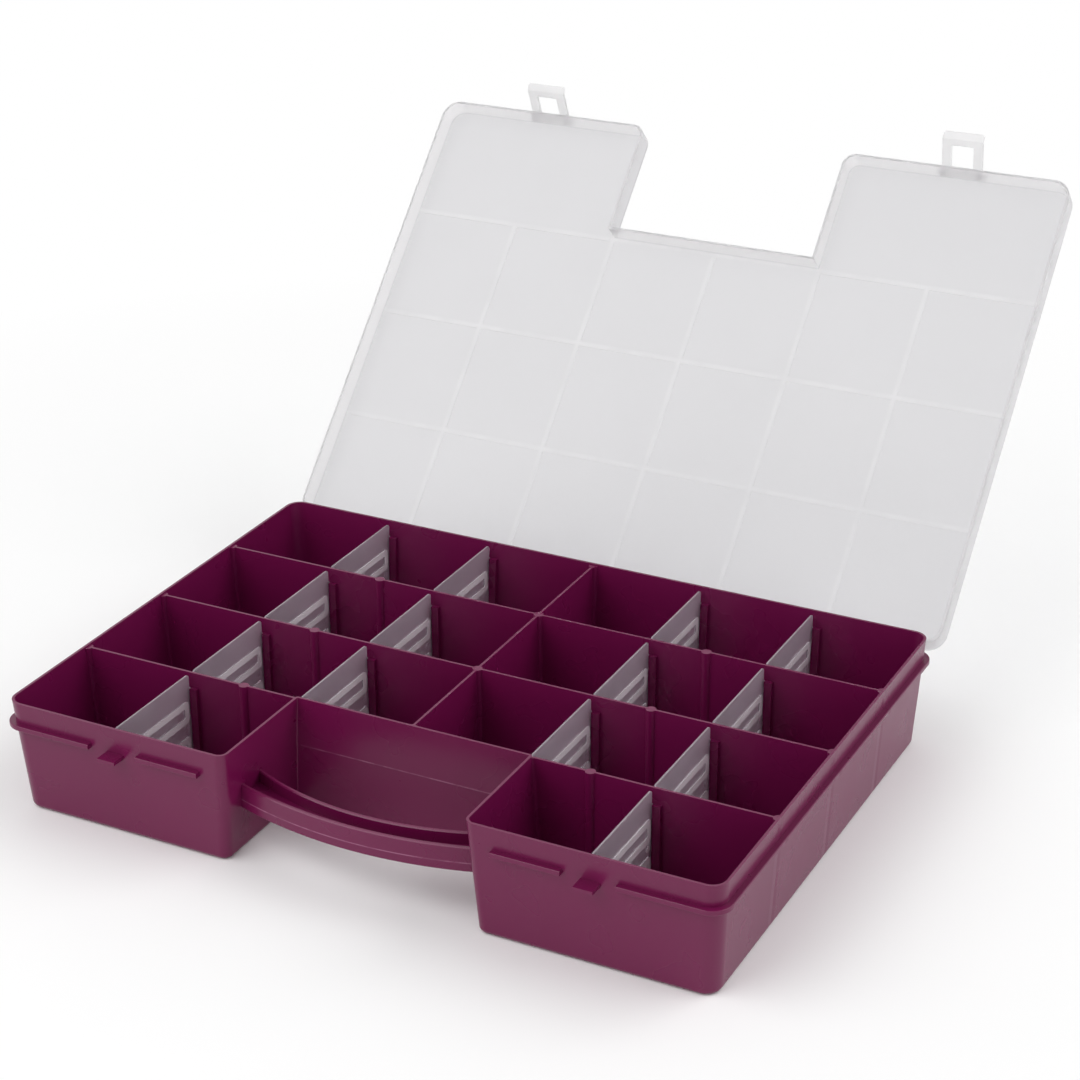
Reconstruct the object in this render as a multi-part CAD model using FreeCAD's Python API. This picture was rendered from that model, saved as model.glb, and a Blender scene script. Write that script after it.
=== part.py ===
import FreeCAD
import Part
import math
import os

Vector = FreeCAD.Vector
X_AXIS = Vector(1, 0, 0)

# Tray, measured at the rim, in millimetres
tray_width = 370.0
tray_depth = 258.0
tray_height = 58.5
tray_wall = 1.3
tray_floor = 1.8
outer_draft_deg = 3.5
corner_radius = 8.0
base_edge_radius = 3.0
cut_overrun = 5.0
same_place = 0.001

# Compartments: cross walls, centre wall and the posts that push the tray off its mould
row_count = 4
column_count = 6
inner_wall = 1.2
inner_wall_drop = 0.8
inner_draft_deg = 0.5
cell_corner_radius = 1.6
cell_floor_radius = 1.2
post_radius = 2.5
post_column_shares = (-1 / 4, 0, 1 / 4)

# Handle recess in the middle of the front
recess_width = 124.0
recess_front_radius = 5.0
recess_back_radius = 0.6
least_corner_radius = 0.4
crease_height = 33.0
crease_step = 0.3
recess_upper_draft_deg = 1.0
recess_lower_draft_deg = 1.4

# Carry handle: a bowed bar of H section between the recess walls
handle_bottom = 23.4
handle_front_top = 36.0
handle_back_top = 35.6
handle_front_end_setback = 16.2
handle_front_bow = 11.0
handle_back_end_setback = 34.0
handle_back_bow = 15.7
handle_flange = 2.2
handle_web_bottom = 27.0
handle_web_top = 29.4
handle_edge_chamfer = 0.5
handle_root_overlap = 4.0

# Ledge bead that the closed lid sits on
bead_drop = 11.0
bead_thickness = 2.5
bead_reach = 2.9
bead_edge_radius = 0.5
bead_recess_margin = 14.0

# Catches under the latches
catch_width = 9.6
catch_drop = 13.6
catch_reach = 6.7
catch_root_thickness = 2.0
catch_tip_thickness = 1.6

# Divider slots and dividers
rib_width = 4.0
rib_reach = 2.0
rib_top_drop = 8.0
divider_thickness = 0.9
divider_slot_clearance = 0.3
divider_end_clearance = 0.4
divider_floor_gap = 0.3
divider_top_drop = 0.6
divider_shoulder = 1.0
divider_top_radius = 1.5
divider_foot_chamfer = 2.0
ring_margin = 3.2
ring_ridge = 3.3
ring_height = 0.6
ring_corner_radius = 2.2
ring_drops = (12.8, 32.1)
ring_tall = 11.8
ejector_mark_radius = 1.8
ejector_mark_height = 0.25

# Lid
lid_plate = 1.4
lid_wall = 1.3
lid_side_clearance = 0.6
lid_rest_gap = 0.3
lid_draft_deg = 1.0
lid_edge_radius = 1.0
lid_rib_width = 3.0
lid_rib_height = 0.4
lid_rib_rim_margin = 1.0
lid_open_deg = 134.0

# Lid hinge: moulded pins on the tray, snap knuckles on the lid
hinge_offset = 4.2
hinge_pin_radius = 2.0
hinge_running_clearance = 0.06
hinge_knuckle_wall = 1.5
hinge_knuckle_width = 20.0
hinge_snap_opening = 3.0
hinge_snap_angle_deg = 225.0
hinge_side_clearance = 0.4
hinge_lug_thickness = 3.0
hinge_lug_radius = 2.9
hinge_lug_drop = 8.0
hinge_station_share = 1 / 3
hinge_skirt_notch = 4.2
hinge_gusset_rise = 6.0
hinge_bead_clearance = 1.5
stop_gap = 0.3
stop_top = 0.6
stop_bottom = 1.6
stop_root = 2.6

# Latches: loop flaps on small axles at the lid's front edge
latch_width = 22.5
latch_thickness = 1.7
latch_barrel_radius = 1.6
latch_barrel_gap = 0.3
latch_axle_radius = 0.9
latch_axle_length = 2.6
latch_axle_clearance = 0.05
latch_cheek = 1.8
latch_cheek_gap = 0.25
latch_loop_width = 12.5
latch_loop_start = 3.4
latch_loop_end = 16.0
latch_leg_length = 19.6
latch_lip_length = 4.2
latch_lip_bend_deg = 35.0
latch_corner_radius = 1.6
latch_bead_clearance = 2.0
latch_left_rest_deg = 66.0
latch_right_rest_deg = 50.0
latch_closed_deg = 90.0

# Places worked out from the sizes above
half_width = tray_width / 2
half_depth = tray_depth / 2
row_pitch = tray_depth / row_count
column_pitch = tray_width / column_count
cross_wall_ys = [row_pitch * k - half_depth for k in range(1, row_count)]
first_wall_y = cross_wall_ys[0]
recess_half = recess_width / 2
recess_back_y = first_wall_y - inner_wall / 2
block_middle = (half_width + recess_half) / 2
outer_slope = math.tan(math.radians(outer_draft_deg))
inner_slope = math.tan(math.radians(inner_draft_deg))
inner_wall_top = tray_height - inner_wall_drop
rib_top = inner_wall_top - rib_top_drop
bead_top = tray_height - bead_drop
bead_bottom = bead_top - bead_thickness
hinge_y = half_depth + hinge_offset
hinge_z = bead_top
hinge_xs = (-tray_width * hinge_station_share, tray_width * hinge_station_share)
plate_bottom = tray_height + lid_rest_gap
plate_top = plate_bottom + lid_plate
skirt_bottom = bead_top + lid_rest_gap
lid_offset = lid_side_clearance + lid_wall
latch_y = -half_depth - lid_offset - latch_barrel_radius - latch_barrel_gap
latch_z = plate_top - latch_barrel_radius


def box(x0, x1, y0, y1, z0, z1):
    return Part.makeBox(x1 - x0, y1 - y0, z1 - z0, Vector(x0, y0, z0))


def join(shapes):
    first = shapes[0]
    if len(shapes) == 1:
        return first
    return first.multiFuse(shapes[1:]).removeSplitter()


def rod(radius, x0, x1, y, z):
    return Part.makeCylinder(radius, x1 - x0, Vector(x0, y, z), X_AXIS)


def side_prism(points, x0, x1):
    """Polygon of (y, z) points, extruded along X."""
    corners = [Vector(x0, y, z) for y, z in points]
    face = Part.Face(Part.makePolygon(corners + corners[:1]))
    return face.extrude(Vector(x1 - x0, 0, 0))


def rounded_wire(corners, z):
    """Closed wire through (x, y, radius) corners, each rounded by its own arc."""
    count = len(corners)
    pieces = []
    for index, (x, y, radius) in enumerate(corners):
        corner = Vector(x, y, z)
        before = Vector(corners[index - 1][0], corners[index - 1][1], z)
        after = Vector(corners[(index + 1) % count][0], corners[(index + 1) % count][1], z)
        back = (before - corner).normalize()
        ahead = (after - corner).normalize()
        half_angle = back.getAngle(ahead) / 2
        reach = radius / math.tan(half_angle)
        middle = corner + (back + ahead).normalize() * (radius / math.sin(half_angle) - radius)
        pieces.append((corner + back * reach, middle, corner + ahead * reach))
    edges = []
    for index, (start, middle, end) in enumerate(pieces):
        edges.append(Part.Arc(start, middle, end).toShape())
        following = pieces[(index + 1) % count][0]
        edges.append(Part.LineSegment(end, following).toShape())
    return Part.Wire(edges)


def loft(*wires):
    return Part.makeLoft(list(wires), True, True)


def flat_face(points):
    return Part.Face(Part.makePolygon(points + points[:1]))


def drafted_block(low, high, z0, z1):
    """Flat-sided block between two outlines of (x, y) corners, both counted the same way round."""
    bottom = [Vector(x, y, z0) for x, y in low]
    top = [Vector(x, y, z1) for x, y in high]
    faces = [flat_face(bottom[::-1]), flat_face(top)]
    for index, corner in enumerate(bottom):
        faces.append(flat_face([bottom[index - 1], corner, top[index], top[index - 1]]))
    shell = Part.Shell(faces)
    shell.sewShape()
    return Part.makeSolid(shell)


def round_uprights(solid, radius_at):
    """Round the upright edges, each by the radius for its place; no radius leaves an edge sharp."""
    def upright(edge):
        return edge.BoundBox.ZLength > max(edge.BoundBox.XLength, edge.BoundBox.YLength)
    radii = {radius_at(e.CenterOfMass) for e in solid.Edges if upright(e)}
    for radius in sorted(radius for radius in radii if radius):
        edges = [e for e in solid.Edges if upright(e) and radius_at(e.CenterOfMass) == radius]
        solid = solid.makeFillet(radius, edges)
    return solid


def level_edges(solid, z):
    """Every edge of the solid that lies at one height."""
    def level(edge):
        return abs(edge.BoundBox.ZMin - z) < same_place and abs(edge.BoundBox.ZMax - z) < same_place
    return [edge for edge in solid.Edges if level(edge)]


def fillet_level(solid, radius, z):
    return solid.makeFillet(radius, level_edges(solid, z))


def rim_corners(offset):
    """Outline of the rim with its handle recess, moved outwards by the offset."""
    x = half_width + offset
    y = half_depth + offset
    recess_x = recess_half - offset
    recess_y = recess_back_y - offset
    outer = corner_radius + offset
    front = recess_front_radius + offset
    back = max(recess_back_radius - offset, least_corner_radius)
    return [
        (-x, -y, outer),
        (-recess_x, -y, front),
        (-recess_x, recess_y, back),
        (recess_x, recess_y, back),
        (recess_x, -y, front),
        (x, -y, outer),
        (x, y, outer),
        (-x, y, outer),
    ]


def drafted_inset(z):
    return (tray_height - z) * outer_slope


def offset_prism(offset, z0, z1):
    wire = rounded_wire(rim_corners(offset), z0)
    return Part.Face(wire).extrude(Vector(0, 0, z1 - z0))


def recess_outline(z, back):
    """Handle recess at one height, open to the front."""
    x = recess_half + drafted_inset(z)
    front = -half_depth - cut_overrun
    return [(-x, front), (x, front), (x, back), (-x, back)]


def recess_cut(z0, z1, back_z0, back_z1):
    block = drafted_block(recess_outline(z0, back_z0), recess_outline(z1, back_z1), z0, z1)

    def radius_at(place):
        return recess_back_radius if place.y > -half_depth else 0
    return round_uprights(block, radius_at)


def tray_body():
    """Outside of the tray as a full block, with the crease of the recess wall."""
    upper_slope = math.tan(math.radians(recess_upper_draft_deg))
    lower_slope = math.tan(math.radians(recess_lower_draft_deg))
    crease_y = recess_back_y - (tray_height - crease_height) * upper_slope
    lower_y = crease_y + crease_step
    base_y = lower_y + crease_height * lower_slope
    above = tray_height + cut_overrun

    def outline(z):
        x = half_width - drafted_inset(z)
        y = half_depth - drafted_inset(z)
        return [(-x, -y), (x, -y), (x, y), (-x, y)]
    block = drafted_block(outline(0), outline(tray_height), 0, tray_height)
    block = round_uprights(block, lambda place: corner_radius)
    lower = recess_cut(0, crease_height, base_y, lower_y)
    upper = recess_cut(crease_height, above, crease_y, recess_back_y + cut_overrun * upper_slope)
    block = block.cut(join([lower, upper]))

    def radius_at(place):
        at_mouth = abs(place.x) < recess_half + corner_radius and place.y < -half_depth + corner_radius
        return recess_front_radius if at_mouth else 0
    block = round_uprights(block, radius_at)
    return fillet_level(block, base_edge_radius, 0)


def cell_walls():
    """Faces of the eight moulded cells at the rim: (front, back, left, right), each with its slope."""
    inner = inner_wall / 2
    cells = []
    fronts = [y + inner for y in cross_wall_ys]
    backs = [y - inner for y in cross_wall_ys[1:]]
    for front, back in zip(fronts[:-1], backs):
        cells.append(((front, inner_slope), (back, inner_slope)))
    cells.append(((fronts[-1], inner_slope), (half_depth - tray_wall, outer_slope)))
    faces = []
    for front, back in cells:
        faces.append((front, back, (-half_width + tray_wall, outer_slope), (-inner, inner_slope)))
        faces.append((front, back, (inner, inner_slope), (half_width - tray_wall, outer_slope)))
    front = (-half_depth + tray_wall, outer_slope)
    back = (first_wall_y - inner, inner_slope)
    recess = recess_half + tray_wall
    faces.append((front, back, (-half_width + tray_wall, outer_slope), (-recess, outer_slope)))
    faces.append((front, back, (recess, outer_slope), (half_width - tray_wall, outer_slope)))
    return faces


def low_face(wall, z):
    """Place of a wall that faces up the axis, at one height: the cell narrows towards its floor."""
    return wall[0] + (tray_height - z) * wall[1]


def high_face(wall, z):
    return wall[0] - (tray_height - z) * wall[1]


def cell_radius(x, y):
    """Cells follow the round outer corners of the tray and are tight elsewhere."""
    at_side = abs(x) > half_width - corner_radius
    at_end = abs(y) > half_depth - corner_radius
    at_recess = abs(x) < recess_half + corner_radius and y < first_wall_y - corner_radius
    if at_side and at_end:
        return corner_radius - tray_wall
    if at_recess and at_end:
        return recess_front_radius - tray_wall
    return cell_corner_radius


def cell_outline(cell, z):
    front, back, left, right = cell
    x0, x1 = low_face(left, z), high_face(right, z)
    y0, y1 = low_face(front, z), high_face(back, z)
    return [(x0, y0), (x1, y0), (x1, y1), (x0, y1)]


def cell_cavity(cell):
    top = tray_height + cut_overrun
    block = drafted_block(cell_outline(cell, tray_floor), cell_outline(cell, top), tray_floor, top)
    block = round_uprights(block, lambda place: cell_radius(place.x, place.y))
    return fillet_level(block, cell_floor_radius, tray_floor)


def ledge_bead():
    """Bead round the sides and back, broken at the hinges, with two short strips on each front block."""
    offset = bead_reach - drafted_inset(bead_top)
    x = half_width + offset
    y = half_depth + offset
    radius = corner_radius + offset
    corners = [(-x, -y, radius), (x, -y, radius), (x, y, radius), (-x, y, radius)]
    slab = Part.Face(rounded_wire(corners, bead_bottom)).extrude(Vector(0, 0, bead_thickness))
    slab = fillet_level(slab, bead_edge_radius, bead_top)
    slab = fillet_level(slab, bead_edge_radius, bead_bottom)
    z0 = bead_bottom - cut_overrun
    z1 = bead_top + cut_overrun
    front = -half_depth - bead_reach - cut_overrun
    strip_inner = recess_half + bead_recess_margin
    gaps = [box(-strip_inner, strip_inner, front, first_wall_y + tray_wall, z0, z1)]
    latch_gap = latch_width / 2 + latch_bead_clearance
    for x in (-block_middle, block_middle):
        gaps.append(box(x - latch_gap, x + latch_gap, front, -half_depth + tray_wall, z0, z1))
    station = hinge_knuckle_width / 2 + hinge_side_clearance + hinge_lug_thickness + hinge_bead_clearance
    for x in hinge_xs:
        gaps.append(box(x - station, x + station, half_depth - tray_wall, -front, z0, z1))
    return slab.cut(join(gaps))


def catch(x):
    """Tongue that the latch loop drops over."""
    root_y = -half_depth + tray_wall
    tip_y = -half_depth - catch_reach
    top = tray_height - catch_drop
    points = [
        (root_y, top),
        (tip_y, top),
        (tip_y, top - catch_tip_thickness),
        (root_y, top - catch_root_thickness),
    ]
    return side_prism(points, x - catch_width / 2, x + catch_width / 2)


def hinge_mount(x):
    """Two lugs on the back wall with the moulded pin between them."""
    wall_y = half_depth - drafted_inset(hinge_z) - tray_wall / 2
    tangent = hinge_lug_radius * math.sin(math.radians(45))
    points = [
        (wall_y, hinge_z + hinge_lug_radius),
        (hinge_y, hinge_z + hinge_lug_radius),
        (hinge_y + tangent, hinge_z - tangent),
        (wall_y, hinge_z - hinge_lug_drop),
    ]
    inner = hinge_knuckle_width / 2 + hinge_side_clearance
    pieces = [rod(hinge_pin_radius, x - inner - tray_wall, x + inner + tray_wall, hinge_y, hinge_z)]
    for start in (x - inner - hinge_lug_thickness, x + inner):
        pieces.append(side_prism(points, start, start + hinge_lug_thickness))
        pieces.append(rod(hinge_lug_radius, start, start + hinge_lug_thickness, hinge_y, hinge_z))
    return join(pieces)


def posts(body):
    """Round posts where the walls cross, flush with the wall tops and kept inside the tray's outside."""
    edge = half_width - tray_wall
    columns = [-edge] + [tray_width * share for share in post_column_shares] + [edge]
    places = [(x, y) for y in cross_wall_ys for x in columns]
    places.append((0, half_depth - tray_wall))
    root = tray_floor / 2
    rods = [Part.makeCylinder(post_radius, inner_wall_top - root, Vector(x, y, root)) for x, y in places]
    return Part.makeCompound(rods).common(body)


def slot_places():
    """Every divider: its node name, x, and the walls before and behind it."""
    front_wall = (-half_depth + tray_wall, outer_slope)
    back_wall = (half_depth - tray_wall, outer_slope)
    inner = inner_wall / 2
    places = []
    row_fronts = [(y + inner, inner_slope) for y in cross_wall_ys]
    row_backs = [(y - inner, inner_slope) for y in cross_wall_ys[1:]] + [back_wall]
    first_back = (first_wall_y - inner, inner_slope)
    places.append(("divider_front_left", -block_middle, front_wall, first_back))
    places.append(("divider_front_right", block_middle, front_wall, first_back))
    columns = (("outer_left", -2), ("inner_left", -1), ("inner_right", 1), ("outer_right", 2))
    for row, front, back in zip(("second", "third", "back"), row_fronts, row_backs):
        for column, step in columns:
            places.append((f"divider_{row}_{column}", step * column_pitch, front, back))
    return places


def slot_ribs(x, front, back):
    """Four ribs that hold one divider by its two ends."""
    inner = divider_thickness / 2 + divider_slot_clearance
    bottom = tray_floor / 2
    root = -tray_wall / 2
    section = ((bottom, root), (bottom, rib_reach), (rib_top, rib_reach), (rib_top, root))
    ribs = []
    for wall, face, sign in ((front, low_face, 1), (back, high_face, -1)):
        points = [(face(wall, z) + sign * reach, z) for z, reach in section]
        ribs.append(side_prism(points, x - inner - rib_width, x - inner))
        ribs.append(side_prism(points, x + inner, x + inner + rib_width))
    return ribs


def tray():
    block = tray_body()
    outside = join([block, ledge_bead()])
    fittings = [catch(-block_middle), catch(block_middle)] + [hinge_mount(x) for x in hinge_xs]
    outside = join([outside] + fittings)
    cavities = [cell_cavity(cell) for cell in cell_walls()]
    shell = outside.cut(Part.makeCompound(cavities))
    inside = offset_prism(-tray_wall, inner_wall_top, tray_height + cut_overrun)
    shell = shell.cut(inside)
    ribs = []
    for _, x, front, back in slot_places():
        ribs += slot_ribs(x, front, back)
    return shell.multiFuse(ribs + posts(block).Solids).removeSplitter()


def bowed_band(front_end, front_bow, back_end, back_bow, half_span, z0, z1):
    """Plan shape between two arcs that bow towards the front, extruded upwards."""
    def place(x, setback):
        return Vector(x, -half_depth + setback, z0)
    front_left = place(-half_span, front_end)
    front_right = place(half_span, front_end)
    back_left = place(-half_span, back_end)
    back_right = place(half_span, back_end)
    curves = [
        Part.Arc(front_left, place(0, front_end - front_bow), front_right),
        Part.LineSegment(front_right, back_right),
        Part.Arc(back_right, place(0, back_end - back_bow), back_left),
        Part.LineSegment(back_left, front_left),
    ]
    wire = Part.Wire([curve.toShape() for curve in curves])
    return Part.Face(wire).extrude(Vector(0, 0, z1 - z0))


def carry_handle():
    """Bowed bar with a front and a back flange and a web between them, ending on the recess walls."""
    span = recess_half + handle_root_overlap
    front = bowed_band(
        handle_front_end_setback, handle_front_bow, handle_front_end_setback + handle_flange,
        handle_front_bow, span, handle_bottom, handle_front_top)
    back = bowed_band(
        handle_back_end_setback - handle_flange, handle_back_bow, handle_back_end_setback,
        handle_back_bow, span, handle_bottom, handle_back_top)
    web = bowed_band(
        handle_front_end_setback + handle_flange / 2, handle_front_bow,
        handle_back_end_setback - handle_flange / 2, handle_back_bow,
        span, handle_web_bottom, handle_web_top)
    for level in (handle_front_top, handle_bottom):
        front = front.makeChamfer(handle_edge_chamfer, level_edges(front, level))
    for level in (handle_back_top, handle_bottom):
        back = back.makeChamfer(handle_edge_chamfer, level_edges(back, level))
    low = recess_outline(0, first_wall_y)
    high = recess_outline(tray_height, first_wall_y)
    return join([front, web, back]).common(drafted_block(low, high, 0, tray_height))


def divider(x, front, back):
    """Removable plate with stepped ends and two raised rings on one face."""
    half = divider_thickness / 2
    bottom = tray_floor + divider_floor_gap
    foot = bottom + divider_foot_chamfer
    top = inner_wall_top - divider_top_drop
    step = rib_top + divider_shoulder

    def ends(z, inset):
        return low_face(front, z) + inset, high_face(back, z) - inset

    def is_top_corner(edge):
        return edge.BoundBox.ZMin > top - same_place and edge.BoundBox.YLength < same_place
    tight = divider_end_clearance
    loose = tight + divider_shoulder
    levels = [(bottom, tight + divider_foot_chamfer), (foot, tight), (rib_top, tight)]
    levels += [(step, loose), (top, loose)]
    left = [(ends(z, inset)[0], z) for z, inset in levels]
    right = [(ends(z, inset)[1], z) for z, inset in levels]
    plate = side_prism(left + right[::-1], x - half, x + half)
    plate = plate.makeFillet(divider_top_radius, [e for e in plate.Edges if is_top_corner(e)])
    pieces = [plate]
    for drop in ring_drops:
        z1 = top - drop
        z0 = z1 - ring_tall
        y0, y1 = ends(z0, tight + ring_margin)
        pieces.append(ring(x + half / 2, x + half + ring_height, y0, y1, z0, z1))
    middle = top - (ring_drops[0] + ring_tall + ring_drops[1]) / 2
    mark_y = ends(middle, tight + ring_margin + ejector_mark_radius)[1]
    mark_place = Vector(x + half / 2, mark_y, middle)
    mark_length = half / 2 + ejector_mark_height
    pieces.append(Part.makeCylinder(ejector_mark_radius, mark_length, mark_place, X_AXIS))
    return join(pieces)


def rounded_panel(x0, x1, y0, y1, z0, z1, radius):
    """Upright rounded rectangle, extruded along X."""
    corners = [(y0, z0, radius), (y1, z0, radius), (y1, z1, radius), (y0, z1, radius)]
    panel = Part.Face(rounded_wire(corners, x0)).extrude(Vector(0, 0, x1 - x0))
    panel.Placement = FreeCAD.Placement(FreeCAD.Matrix(0, 0, 1, 0, 1, 0, 0, 0, 0, 1, 0, 0, 0, 0, 0, 1))
    return panel


def ring(x0, x1, y0, y1, z0, z1):
    outer = rounded_panel(x0, x1, y0, y1, z0, z1, ring_corner_radius)
    ridge = ring_ridge
    inner = rounded_panel(
        x0 - ring_height, x1 + ring_height, y0 + ridge, y1 - ridge, z0 + ridge, z1 - ridge,
        ring_corner_radius / 2)
    return outer.cut(inner)


def lid_shell():
    """Closed lid: plate and skirt round the whole outline, recess included."""
    flare = (plate_top - skirt_bottom) * math.tan(math.radians(lid_draft_deg))

    def level(offset, z):
        return rounded_wire(rim_corners(offset), z)
    outer = loft(level(lid_offset + flare, skirt_bottom), level(lid_offset, plate_top))
    outer = fillet_level(outer, lid_edge_radius, plate_top)
    low = skirt_bottom - lid_rest_gap
    inner = loft(level(lid_side_clearance + flare, low), level(lid_side_clearance, plate_bottom))
    return outer.cut(inner)


def lid_ribs():
    """Low ribs under the plate that meet the tops of the walls and dividers."""
    z0 = plate_bottom - lid_rib_height
    z1 = plate_bottom + lid_plate / 2
    half = lid_rib_width / 2
    bars = [box(-half_width, half_width, y - half, y + half, z0, z1) for y in cross_wall_ys]
    for step in range(1 - column_count // 2, column_count // 2):
        x = step * column_pitch
        bars.append(box(x - half, x + half, first_wall_y, half_depth, z0, z1))
    return join(bars).common(offset_prism(-tray_wall - lid_rib_rim_margin, z0, z1))


def hinge_knuckle(x):
    """Snap knuckle on the rear skirt, with the nose that stops the open lid against the back wall."""
    bore = hinge_pin_radius + hinge_running_clearance
    outer = bore + hinge_knuckle_wall
    x0 = x - hinge_knuckle_width / 2
    x1 = x + hinge_knuckle_width / 2
    skirt_y = half_depth + lid_offset - lid_wall / 2
    gusset = [
        (skirt_y, hinge_z + lid_rest_gap),
        (hinge_y, hinge_z),
        (hinge_y + outer, hinge_z),
        (skirt_y, hinge_z + hinge_gusset_rise),
    ]
    reach = hinge_offset + drafted_inset(hinge_z + stop_top) - stop_gap
    nose = box(x0, x1, hinge_y - reach, hinge_y - stop_root, hinge_z - stop_bottom, hinge_z + stop_top)
    nose.rotate(Vector(0, hinge_y, hinge_z), X_AXIS, lid_open_deg)
    knuckle = join([rod(outer, x0, x1, hinge_y, hinge_z), side_prism(gusset, x0, x1), nose])
    snap = hinge_snap_opening / 2
    opening = box(x0, x1, hinge_y, hinge_y + outer + cut_overrun, hinge_z - snap, hinge_z + snap)
    opening.rotate(Vector(0, hinge_y, hinge_z), X_AXIS, hinge_snap_angle_deg)
    return knuckle, rod(bore, x0, x1, hinge_y, hinge_z), opening


def latch_cheeks(x):
    """Two eyes at the lid's front edge with the stub axles of one latch."""
    reach = latch_width / 2 + latch_cheek_gap
    skirt_y = -half_depth - lid_offset + lid_wall / 2
    pieces = []
    for start, inward in ((x - reach - latch_cheek, 1), (x + reach, -1)):
        end = start + latch_cheek
        pieces.append(rod(latch_barrel_radius, start, end, latch_y, latch_z))
        low = latch_z - latch_barrel_radius
        pieces.append(box(start, end, latch_y, skirt_y, low, latch_z + latch_barrel_radius))
        if inward > 0:
            pieces.append(rod(latch_axle_radius, start, end + latch_axle_length, latch_y, latch_z))
        else:
            pieces.append(rod(latch_axle_radius, start - latch_axle_length, end, latch_y, latch_z))
    return join(pieces)


def lid():
    shell = lid_shell()
    lug_gap = hinge_knuckle_width / 2
    lug_room = hinge_lug_thickness + 2 * hinge_side_clearance
    notches = []
    y0 = half_depth + lid_side_clearance / 2
    y1 = hinge_y + cut_overrun
    z0 = skirt_bottom - cut_overrun
    z1 = hinge_z + hinge_skirt_notch
    for x in hinge_xs:
        for start in (x - lug_gap - lug_room, x + lug_gap):
            notches.append(box(start, start + lug_room, y0, y1, z0, z1))
    shell = shell.cut(join(notches))
    knuckles = [hinge_knuckle(x) for x in hinge_xs]
    pieces = [shell, lid_ribs(), latch_cheeks(-block_middle), latch_cheeks(block_middle)]
    whole = join(pieces + [knuckle for knuckle, _, _ in knuckles])
    for _, bore, opening in knuckles:
        whole = whole.cut(join([bore, opening]))
    return whole


def latch(x):
    """Closed latch: a hanging loop with a finger lip, on a round barrel."""
    half = latch_thickness / 2
    bend = math.radians(latch_lip_bend_deg)
    lip_y = half - latch_lip_length * math.sin(bend)
    lip_t = latch_leg_length + latch_lip_length * math.cos(bend)
    profile = [
        (half, 0),
        (half, latch_leg_length),
        (lip_y, lip_t),
        (lip_y - latch_thickness * math.cos(bend), lip_t - latch_thickness * math.sin(bend)),
        (-half, latch_leg_length - latch_thickness * math.tan(bend / 2)),
        (-half, 0),
    ]
    x0 = x - latch_width / 2
    x1 = x + latch_width / 2
    flap = side_prism([(latch_y + y, latch_z - t) for y, t in profile], x0, x1)
    depth = latch_lip_length + latch_thickness
    front = latch_y - depth
    plan = [
        (x0, latch_z - lip_t, latch_corner_radius),
        (x1, latch_z - lip_t, latch_corner_radius),
        (x1, latch_z + latch_barrel_radius, latch_corner_radius / 2),
        (x0, latch_z + latch_barrel_radius, latch_corner_radius / 2),
    ]
    flap = flap.common(upright_prism(plan, front, latch_y + depth))
    radius = latch_corner_radius / 2
    hole = [
        (x - latch_loop_width / 2, latch_z - latch_loop_end, radius),
        (x + latch_loop_width / 2, latch_z - latch_loop_end, radius),
        (x + latch_loop_width / 2, latch_z - latch_loop_start, radius),
        (x - latch_loop_width / 2, latch_z - latch_loop_start, radius),
    ]
    flap = flap.cut(upright_prism(hole, front, latch_y + depth))
    body = join([flap, rod(latch_barrel_radius, x0, x1, latch_y, latch_z)])
    bore = latch_axle_radius + latch_axle_clearance
    deep = latch_axle_length + latch_cheek_gap
    bores = [rod(bore, x0, x0 + deep, latch_y, latch_z), rod(bore, x1 - deep, x1, latch_y, latch_z)]
    return body.cut(Part.makeCompound(bores))


def upright_prism(corners, y0, y1):
    """Rounded outline of (x, z, radius) corners, extruded along Y."""
    flat = Part.Face(rounded_wire(corners, -y1))
    prism = flat.extrude(Vector(0, 0, y1 - y0))
    prism.Placement = FreeCAD.Placement(FreeCAD.Matrix(1, 0, 0, 0, 0, 0, -1, 0, 0, 1, 0, 0, 0, 0, 0, 1))
    return prism


def open_lid(shape):
    turned = shape.copy()
    turned.rotate(Vector(0, hinge_y, hinge_z), X_AXIS, -lid_open_deg)
    return turned


def resting_latch(x, rest_deg):
    shape = latch(x)
    shape.rotate(Vector(x, latch_y, latch_z), X_AXIS, rest_deg - latch_closed_deg)
    return open_lid(shape)


def all_parts():
    parts = {
        "tray": tray(),
        "carry_handle": carry_handle(),
        "lid": open_lid(lid()),
        "latch_left": resting_latch(-block_middle, latch_left_rest_deg),
        "latch_right": resting_latch(block_middle, latch_right_rest_deg),
    }
    for name, x, front, back in slot_places():
        parts[name] = divider(x, front, back)
    return parts


def single_solid(shape):
    """The one solid of a boolean result."""
    solids = shape.Solids
    return solids[0] if len(solids) == 1 else shape


os.makedirs("parts", exist_ok=True)
for name, shape in all_parts().items():
    single_solid(shape).exportStep(os.path.join("parts", name + ".step"))
    print(name, len(shape.Solids), shape.isValid(), round(shape.Volume))
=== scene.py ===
import math

import bpy
from mathutils import Matrix, Vector

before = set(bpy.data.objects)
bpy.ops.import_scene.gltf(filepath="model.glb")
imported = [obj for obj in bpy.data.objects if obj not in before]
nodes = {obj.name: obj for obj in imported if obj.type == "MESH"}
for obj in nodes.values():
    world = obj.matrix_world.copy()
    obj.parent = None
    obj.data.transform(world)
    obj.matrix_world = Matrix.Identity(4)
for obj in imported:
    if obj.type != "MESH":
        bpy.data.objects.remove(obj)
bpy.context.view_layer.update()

# Sizes of the part that the materials refer to, in metres
TRAY_HALF_WIDTH = 0.185
ROW_PITCH = 0.0645
COLUMN_PITCH = 0.37 / 6
SIDE_WALL_BAND = 0.006
SINK_HALF = 0.0035
SINK_DEPTH = 0.00016
RECESS_HALF_WIDTH = 0.0612
RECESS_BACK = -0.0655
RECESS_BACK_BAND = 0.0016
CREASE_HEIGHT = 0.0330
CREASE_HALF = 0.0006
HANDLE_FRONT = -0.1105
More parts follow.
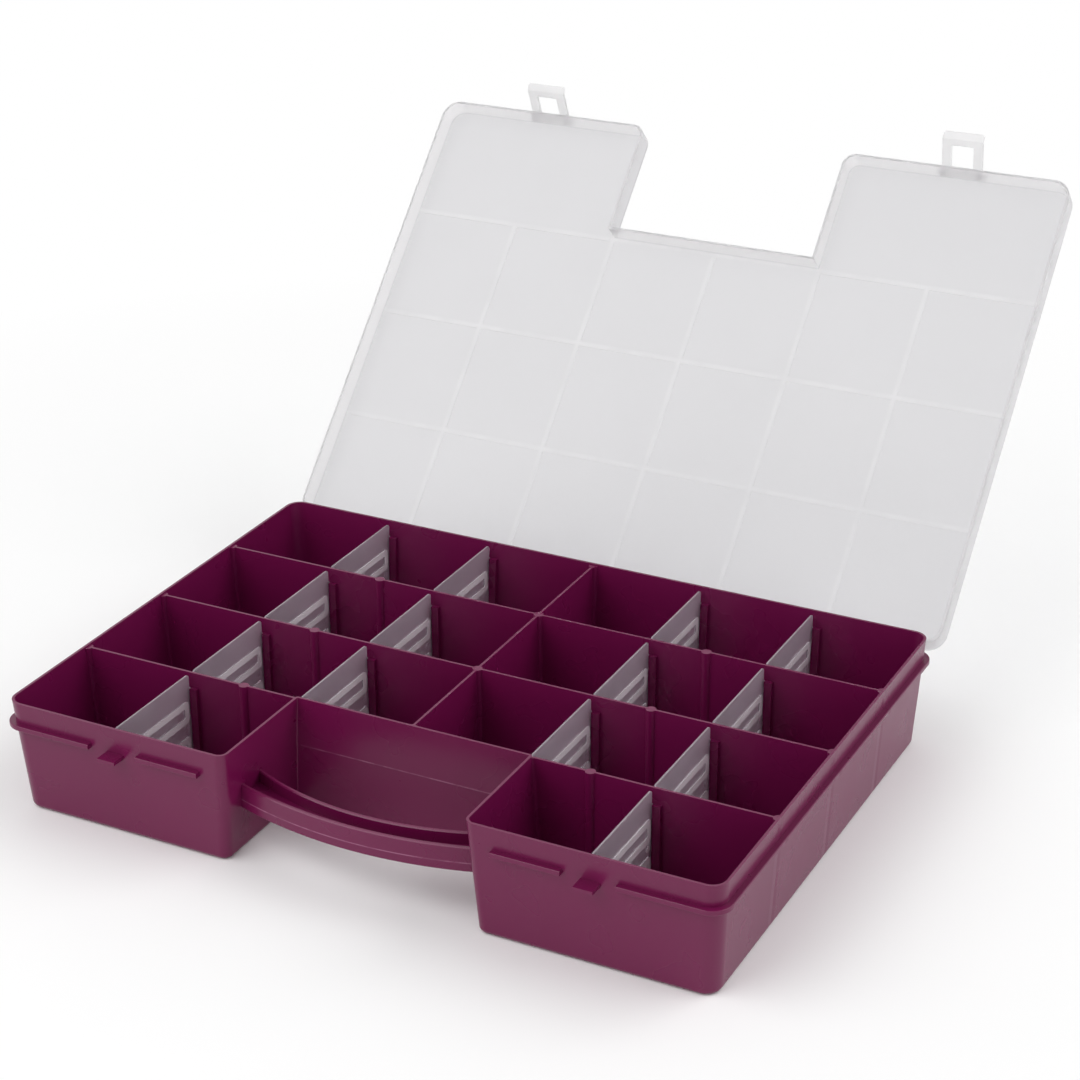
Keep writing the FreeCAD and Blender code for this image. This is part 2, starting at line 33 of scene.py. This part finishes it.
HANDLE_SEAM_HEIGHT = 0.0280
HANDLE_SEAM_HALF = 0.0004
RING_FOOT = 0.00070
RING_FACE = 0.00084
HINGE_Y = 0.1332
HINGE_Z = 0.0475
LID_OPEN = 134.0
LID_RIB_HALF = 0.0017
SKIRT_TOP = 0.0100
PLATE_START = 0.0107
SKIN_DEPTH = 0.000012
HAZE_DEPTH = 0.00002

# Linear colours
MAROON_DEEP = (0.134, 0.0041, 0.0530, 1.0)
MAROON_WARM = (0.148, 0.0049, 0.0585, 1.0)
# Colour of the painted highlight along the recess crease and the handle parting line
SEAM_PAINTED_HIGHLIGHT = (0.36, 0.13, 0.23, 1.0)
LID_PLAIN = (0.750, 0.744, 0.758)
# Paler lid colour: painted light on the skirts and a painted highlight along each rib
LID_PAINTED_LIGHT = (0.925, 0.915, 0.925)
LATCH_PLAIN = (0.87, 0.865, 0.87)
LATCH_PALE = (0.90, 0.895, 0.90)
DIVIDER_PLAIN = (0.81, 0.74, 0.81)
# Paler divider colour on the ring faces: milkier thick plastic and a painted highlight
DIVIDER_RING_MILK_AND_HIGHLIGHT = (0.92, 0.87, 0.91)
FLOOR_LOW = (0.955, 0.955, 0.955, 1.0)
FLOOR_HIGH = (0.975, 0.975, 0.975, 1.0)
WHITE = (1.0, 1.0, 1.0, 1.0)
HAZE_SHADE = 0.97

# Plastics: the lid and latches bend light less than real plastic does, which keeps their edges pale
PLASTIC_IOR = 1.49
LID_IOR = 1.28
MAROON_SPECULAR = 0.42
LID_CLEARNESS = 0.94

# Floor, in metres from the middle of the box, and world, by height of direction
FLOOR_SIZE = 14.0
FLOOR_SHADOW_REACH = 0.22
FLOOR_WHITE_REACH = 0.75
WORLD_LOW, WORLD_LOW_STRENGTH = 0.15, 1.0
WORLD_HIGH, WORLD_HIGH_STRENGTH = 0.6, 0.45

# Camera: place, direction and lens worked out from the edges of the photographed box
CAMERA_AZIMUTH = 27.408
CAMERA_ELEVATION = 25.148
CAMERA_ROLL = -0.609
CAMERA_DISTANCE = 1.439707
CAMERA_TARGET = Vector((-0.05981, 0.182358, 0.037))
CAMERA_LENS = 86.675
CAMERA_REACH = 50.0
SENSOR_WIDTH = 36.0


class Shade:
    """Small helper round one node-based material."""

    def __init__(self, name):
        self.material = bpy.data.materials.new(name)
        self.material.use_nodes = True
        self.tree = self.material.node_tree
        self.shader = next(n for n in self.tree.nodes if n.type == "BSDF_PRINCIPLED")
        self.place = self.tree.nodes.new("ShaderNodeTexCoord").outputs["Object"]

    def set(self, **values):
        for key, value in values.items():
            self.shader.inputs[key.replace("_", " ")].default_value = value

    def link(self, source, target):
        self.tree.links.new(source, target)

    def feed(self, source, name):
        """Link a value to a socket of the shader."""
        self.link(source, self.shader.inputs[name])

    def math(self, operation, first, second=None):
        node = self.tree.nodes.new("ShaderNodeMath")
        node.operation = operation
        for socket, value in zip(node.inputs, (first, second)):
            if value is None:
                continue
            if isinstance(value, (int, float)):
                socket.default_value = value
            else:
                self.link(value, socket)
        return node.outputs[0]

    def axes(self):
        node = self.tree.nodes.new("ShaderNodeSeparateXYZ")
        self.link(self.place, node.inputs[0])
        return node.outputs[0], node.outputs[1], node.outputs[2]

    def stretched(self, scale):
        node = self.tree.nodes.new("ShaderNodeMapping")
        node.inputs["Scale"].default_value = scale
        self.link(self.place, node.inputs["Vector"])
        return node.outputs["Vector"]

    def noise(self, scale, detail=2.0, roughness=0.5, vector=None):
        node = self.tree.nodes.new("ShaderNodeTexNoise")
        node.inputs["Scale"].default_value = scale
        node.inputs["Detail"].default_value = detail
        node.inputs["Roughness"].default_value = roughness
        self.link(vector if vector is not None else self.place, node.inputs["Vector"])
        return node.outputs["Fac"]

    def span(self, value, low, high, out_low, out_high):
        """Map low..high to out_low..out_high, held at the ends."""
        node = self.tree.nodes.new("ShaderNodeMapRange")
        node.inputs["From Min"].default_value = low
        node.inputs["From Max"].default_value = high
        node.inputs["To Min"].default_value = out_low
        node.inputs["To Max"].default_value = out_high
        self.link(value, node.inputs["Value"])
        return node.outputs["Result"]

    def between(self, share, out_low, out_high):
        """A value between two ends, by a share from 0 to 1."""
        return self.span(share, 0.0, 1.0, out_low, out_high)

    def line(self, coordinate, centre, half_width):
        """1 on a line across one axis, falling to 0 at its half width."""
        away = self.math("ABSOLUTE", self.math("SUBTRACT", coordinate, centre))
        return self.span(away, 0.0, half_width, 1.0, 0.0)

    def lines(self, coordinate, centres, half_width):
        """Several lines across one axis."""
        mask = self.line(coordinate, centres[0], half_width)
        for centre in centres[1:]:
            mask = self.math("MAXIMUM", mask, self.line(coordinate, centre, half_width))
        return mask

    def blend(self, factor, first, second):
        node = self.tree.nodes.new("ShaderNodeMix")
        node.data_type = "RGBA"
        self.link(factor, node.inputs["Factor"])
        for socket, colour in ((node.inputs["A"], first), (node.inputs["B"], second)):
            if isinstance(colour, tuple):
                socket.default_value = colour
            else:
                self.link(colour, socket)
        return node.outputs["Result"]

    def bump(self, height, distance, strength=1.0, below=None):
        node = self.tree.nodes.new("ShaderNodeBump")
        node.inputs["Distance"].default_value = distance
        node.inputs["Strength"].default_value = strength
        self.link(height, node.inputs["Height"])
        if below is not None:
            self.link(below, node.inputs["Normal"])
        return node.outputs["Normal"]


def maroon_plastic(name, seam_highlight):
    """Semi-gloss maroon moulding: slow colour flow, uneven sheen, faint skin, sink lines, and a thin
    lighter line painted as a highlight along one moulded line.
    """
    s = Shade(name)
    x, y, z = s.axes()
    flow = s.noise(26.0, detail=3.0, roughness=0.55, vector=s.stretched((1.0, 1.0, 0.35)))
    colour = s.blend(s.between(flow, 0.0, 1.0), MAROON_DEEP, MAROON_WARM)
    # Painted highlight: a thin lighter line along the line the mask function gives (recess crease on
    # the tray, parting line on the handle), broken up by noise
    line = seam_highlight(s, x, y, z)
    broken_highlight = s.math("MULTIPLY", line, s.span(s.noise(160.0), 0.35, 0.6, 0.35, 1.0))
    s.feed(s.blend(broken_highlight, colour, SEAM_PAINTED_HIGHLIGHT), "Base Color")
    s.feed(s.between(s.noise(40.0), 0.245, 0.315), "Roughness")
    skin = s.bump(s.noise(150.0, detail=1.0), SKIN_DEPTH, strength=0.5)
    side = s.math("GREATER_THAN", s.math("ABSOLUTE", x), TRAY_HALF_WIDTH - SIDE_WALL_BAND)
    sinks = s.lines(y, (-ROW_PITCH, 0.0, ROW_PITCH), SINK_HALF)
    sunk = s.math("MULTIPLY", s.math("MULTIPLY", sinks, side), -1.0)
    s.feed(s.bump(sunk, SINK_DEPTH, below=skin), "Normal")
    s.set(IOR=PLASTIC_IOR, Specular_IOR_Level=MAROON_SPECULAR)
    return s.material


def recess_crease_highlight(s, x, y, z):
    """Mask for the painted highlight: a thin line on the crease across the back of the handle recess.
    """
    inside = s.math("LESS_THAN", s.math("ABSOLUTE", x), RECESS_HALF_WIDTH)
    away = s.math("ABSOLUTE", s.math("SUBTRACT", y, RECESS_BACK))
    back = s.math("LESS_THAN", away, RECESS_BACK_BAND)
    area = s.math("MULTIPLY", inside, back)
    return s.math("MULTIPLY", area, s.line(z, CREASE_HEIGHT, CREASE_HALF))


def handle_seam_highlight(s, x, y, z):
    """Mask for the painted highlight: a thin line on the parting line along the front of the carry
    handle.
    """
    front = s.math("LESS_THAN", y, HANDLE_FRONT)
    return s.math("MULTIPLY", front, s.line(z, HANDLE_SEAM_HEIGHT, HANDLE_SEAM_HALF))


def milky_finish(s, paleness_tone_and_light, plain, pale_tone_and_light):
    """Hazy clear moulding, slightly clouded, and paler where the mask says: painted light on the lid,
    milkier plastic with a painted highlight on the divider ring faces, random cloud on the latches.
    """
    haze = s.noise(14.0, detail=3.0, roughness=0.6, vector=s.stretched((1.0, 0.5, 0.5)))
    shaded = tuple(c * HAZE_SHADE for c in plain) + (1.0,)
    clouded = s.blend(s.between(haze, 0.0, 1.0), shaded, plain + (1.0,))
    s.feed(s.blend(paleness_tone_and_light, clouded, pale_tone_and_light + (1.0,)), "Base Color")
    s.feed(s.bump(s.noise(150.0), HAZE_DEPTH, strength=0.5), "Normal")


def lid_plastic():
    """Milky lid plastic, painted paler on the skirts and along each rib under the plate: painted light
    for the light the skirts scatter, painted highlight for the light the rib edges catch.
    """
    s = Shade("clear_lid_plastic")
    # Coordinates of the shut lid, measured from the hinge
    shut = s.tree.nodes.new("ShaderNodeMapping")
    shut.vector_type = "TEXTURE"
    shut.inputs["Location"].default_value = (0.0, HINGE_Y, HINGE_Z)
    shut.inputs["Rotation"].default_value = (-math.radians(LID_OPEN), 0.0, 0.0)
    s.link(s.place, shut.inputs["Vector"])
    s.place = shut.outputs["Vector"]
    x, y, z = s.axes()
    front_row = -ROW_PITCH - HINGE_Y
    rows = s.lines(y, (front_row, -HINGE_Y, ROW_PITCH - HINGE_Y), LID_RIB_HALF)
    columns = s.lines(x, [step * COLUMN_PITCH for step in (0, -2, -1, 1, 2)], LID_RIB_HALF)
    columns = s.math("MULTIPLY", columns, s.math("GREATER_THAN", y, front_row))
    # Painted highlight along each rib, its strength uneven by noise, and painted light on the skirts
    # below the plate
    uneven = s.span(s.noise(60.0), 0.35, 0.6, 0.13, 0.40)
    rib_highlight = s.math("MULTIPLY", s.math("MAXIMUM", rows, columns), uneven)
    skirt_light = s.span(z, SKIRT_TOP, PLATE_START, 1.0, 0.0)
    milky_finish(s, s.math("MAXIMUM", rib_highlight, skirt_light), LID_PLAIN, LID_PAINTED_LIGHT)
    s.set(Transmission_Weight=LID_CLEARNESS, IOR=LID_IOR)
    s.feed(s.between(s.noise(45.0, detail=3.0), 0.28, 0.44), "Roughness")
    return s.material


def latch_plastic():
    """Milky latch plastic with slow clouds."""
    s = Shade("clear_latch_plastic")
    clouds = s.span(s.noise(80.0), 0.3, 0.7, 0.0, 1.0)
    milky_finish(s, clouds, LATCH_PLAIN, LATCH_PALE)
    s.feed(s.between(clouds, 0.86, 0.80), "Transmission Weight")
    s.set(IOR=LID_IOR)
    s.feed(s.between(s.noise(45.0, detail=3.0), 0.36, 0.54), "Roughness")
    return s.material


def divider_plastic():
    """Hazy divider plastic, paler and less clear on the raised ring bars: milkier where the plastic is
    thick, and the paler colour is also a painted highlight on their faces.
    """
    s = Shade("clear_divider_plastic")
    x = s.axes()[0]
    column = s.math("ROUND", s.math("DIVIDE", x, COLUMN_PITCH))
    nearest = s.math("MULTIPLY", column, COLUMN_PITCH)
    # Ring faces on the +x side: milkier and less clear, with a painted highlight in the paler colour
    ring_milk_and_highlight = s.span(s.math("SUBTRACT", x, nearest), RING_FOOT, RING_FACE, 0.0, 1.0)
    milky_finish(s, ring_milk_and_highlight, DIVIDER_PLAIN, DIVIDER_RING_MILK_AND_HIGHLIGHT)
    s.feed(s.between(ring_milk_and_highlight, 0.82, 0.30), "Transmission Weight")
    s.set(IOR=PLASTIC_IOR)
    s.feed(s.between(s.noise(60.0, detail=3.0), 0.28, 0.46), "Roughness")
    return s.material


def seen_by_eye(tree):
    """1 for rays that show a surface directly, by reflection or through clear plastic."""
    path = tree.nodes.new("ShaderNodeLightPath")
    seen = path.outputs["Is Camera Ray"]
    for name in ("Is Glossy Ray", "Is Transmission Ray"):
        either = tree.nodes.new("ShaderNodeMath")
        either.operation = "MAXIMUM"
        tree.links.new(seen, either.inputs[0])
        tree.links.new(path.outputs[name], either.inputs[1])
        seen = either.outputs[0]
    return seen


def floor_material():
    """Pale floor that keeps the shadow near the box and fades to white further out."""
    s = Shade("pale_floor")
    s.feed(s.blend(s.noise(6.0), FLOOR_LOW, FLOOR_HIGH), "Base Color")
    s.set(Roughness=0.9, Specular_IOR_Level=0.1)
    reach = s.tree.nodes.new("ShaderNodeVectorMath")
    reach.operation = "LENGTH"
    s.link(s.place, reach.inputs[0])
    far = s.span(reach.outputs["Value"], FLOOR_SHADOW_REACH, FLOOR_WHITE_REACH, 0.0, 1.0)
    white = s.tree.nodes.new("ShaderNodeEmission")
    white.inputs["Color"].default_value = WHITE
    white.inputs["Strength"].default_value = 1.0
    mix = s.tree.nodes.new("ShaderNodeMixShader")
    s.link(s.math("MULTIPLY", far, seen_by_eye(s.tree)), mix.inputs[0])
    s.link(s.shader.outputs[0], mix.inputs[1])
    s.link(white.outputs[0], mix.inputs[2])
    out = next(n for n in s.tree.nodes if n.type == "OUTPUT_MATERIAL")
    s.link(mix.outputs[0], out.inputs["Surface"])
    return s.material


def dress(names, material):
    for name in names:
        for slot in nodes[name].material_slots:
            slot.material = material


def area_light(name, place, size, power):
    """Rectangular lamp aimed at the middle of the box's base."""
    data = bpy.data.lights.new(name, "AREA")
    data.shape = "RECTANGLE"
    data.size, data.size_y = size
    data.energy = power
    lamp = bpy.data.objects.new(name, data)
    aim = (-Vector(place)).to_track_quat("-Z", "Y")
    lamp.matrix_world = Matrix.Translation(place) @ aim.to_matrix().to_4x4()
    bpy.context.collection.objects.link(lamp)


def set_world():
    """Bright round the horizon and dimmer overhead, where the lamps are; white where it is seen."""
    world = bpy.data.worlds.new("studio")
    bpy.context.scene.world = world
    world.use_nodes = True
    tree = world.node_tree
    tree.nodes.clear()
    out = tree.nodes.new("ShaderNodeOutputWorld")
    mix = tree.nodes.new("ShaderNodeMixShader")
    lighting, shown = (tree.nodes.new("ShaderNodeBackground") for _ in range(2))
    for background, socket in ((lighting, mix.inputs[1]), (shown, mix.inputs[2])):
        background.inputs["Color"].default_value = WHITE
        background.inputs["Strength"].default_value = 1.0
        tree.links.new(background.outputs[0], socket)
    place = tree.nodes.new("ShaderNodeTexCoord")
    direction = tree.nodes.new("ShaderNodeSeparateXYZ")
    tree.links.new(place.outputs["Generated"], direction.inputs[0])
    height = tree.nodes.new("ShaderNodeMapRange")
    height.inputs["From Min"].default_value = WORLD_LOW
    height.inputs["From Max"].default_value = WORLD_HIGH
    height.inputs["To Min"].default_value = WORLD_LOW_STRENGTH
    height.inputs["To Max"].default_value = WORLD_HIGH_STRENGTH
    tree.links.new(direction.outputs["Z"], height.inputs["Value"])
    tree.links.new(height.outputs["Result"], lighting.inputs["Strength"])
    tree.links.new(seen_by_eye(tree), mix.inputs[0])
    tree.links.new(mix.outputs[0], out.inputs["Surface"])


def set_camera():
    azimuth = math.radians(CAMERA_AZIMUTH)
    elevation = math.radians(CAMERA_ELEVATION)
    roll = math.radians(CAMERA_ROLL)
    back = Vector((
        math.sin(azimuth) * math.cos(elevation),
        -math.cos(azimuth) * math.cos(elevation),
        math.sin(elevation)))
    level = Vector((math.cos(azimuth), math.sin(azimuth), 0.0))
    up = back.cross(level)
    right = level * math.cos(roll) + up * math.sin(roll)
    up = up * math.cos(roll) - level * math.sin(roll)
    turn = Matrix((right, up, back)).transposed().to_4x4()
    data = bpy.data.cameras.new("photo_camera")
    data.sensor_width = SENSOR_WIDTH
    data.lens = CAMERA_LENS
    data.clip_end = CAMERA_REACH
    camera = bpy.data.objects.new("photo_camera", data)
    camera.matrix_world = Matrix.Translation(CAMERA_TARGET + back * CAMERA_DISTANCE) @ turn
    bpy.context.collection.objects.link(camera)
    bpy.context.scene.camera = camera


dividers = [name for name in nodes if name.startswith("divider_")]
dress(["tray"], maroon_plastic("maroon_tray_plastic", recess_crease_highlight))
dress(["carry_handle"], maroon_plastic("maroon_handle_plastic", handle_seam_highlight))
dress(["lid"], lid_plastic())
dress(["latch_left", "latch_right"], latch_plastic())
dress(dividers, divider_plastic())

bpy.ops.mesh.primitive_grid_add(
    x_subdivisions=4, y_subdivisions=4, size=FLOOR_SIZE, location=(0.0, 0.0, 0.0))
floor = bpy.context.object
floor.name = "floor"
floor.data.materials.append(floor_material())

set_world()
area_light("key_light", place=(-0.9, -1.1, 1.7), size=(2.0, 1.6), power=22.0)
area_light("right_light", place=(1.5, 0.8, 1.7), size=(2.0, 1.4), power=21.0)
set_camera()
bpy.context.scene.view_settings.view_transform = "Standard"
